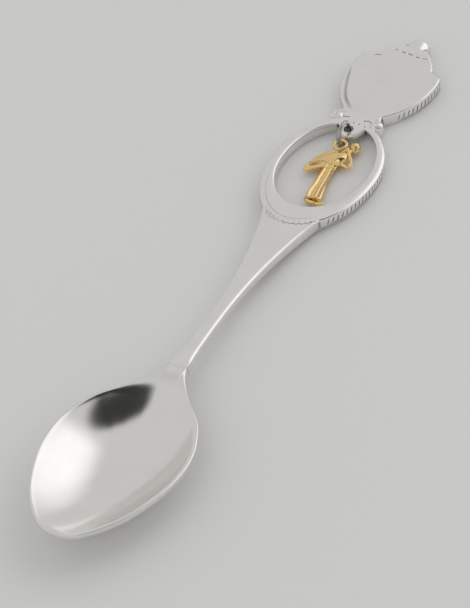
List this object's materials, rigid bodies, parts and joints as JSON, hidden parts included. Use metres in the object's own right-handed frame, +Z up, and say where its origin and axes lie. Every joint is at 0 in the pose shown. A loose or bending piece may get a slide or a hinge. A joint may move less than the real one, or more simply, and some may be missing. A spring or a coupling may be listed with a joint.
{
  "type": "souvenir spoon",
  "caption": "Small collector's spoon with a pointed oval bowl, an open oval window in its handle, a plain shield crest and a small caped figure hanging in the window on a jump ring.",
  "frame": {"origin": "on the surface that the spoon lies on, below the middle of its box", "axes": "+Y from the bowl along the handle to the crest, +X across to the right seen from above, +Z up, out of the bowl's hollow"},
  "size_m": [0.0212, 0.114, 0.006],
  "materials": {
    "bright_silver": "mirror-polished silver plate with faint handling scratches",
    "cast_silver": "bright silver plate over a soft-edged casting, darker in its recesses",
    "ring_wire": "bright drawn wire",
    "gold_plate": "warm yellow gold plate over a soft-edged casting, darker in its folds"
  },
  "bodies": {
    "spoon": {"bowl": "bright_silver", "handle": "cast_silver"},
    "jump_ring": {"jump_ring": "ring_wire"},
    "charm": {"charm": "gold_plate"}
  },
  "joints": [
    {"name": "ring_swing", "type": "hinge", "parent": "spoon", "child": "jump_ring", "pos_m": [-0.0003, 0.03183, 0.0016], "axis": [1, 0, 0], "range_deg": [-12, 80]},
    {"name": "charm_swing", "type": "hinge", "parent": "jump_ring", "child": "charm", "pos_m": [-0.0003, 0.03005, 0.00115], "axis": [0, 0, 1], "range_deg": [-14, 9]}
  ]
}
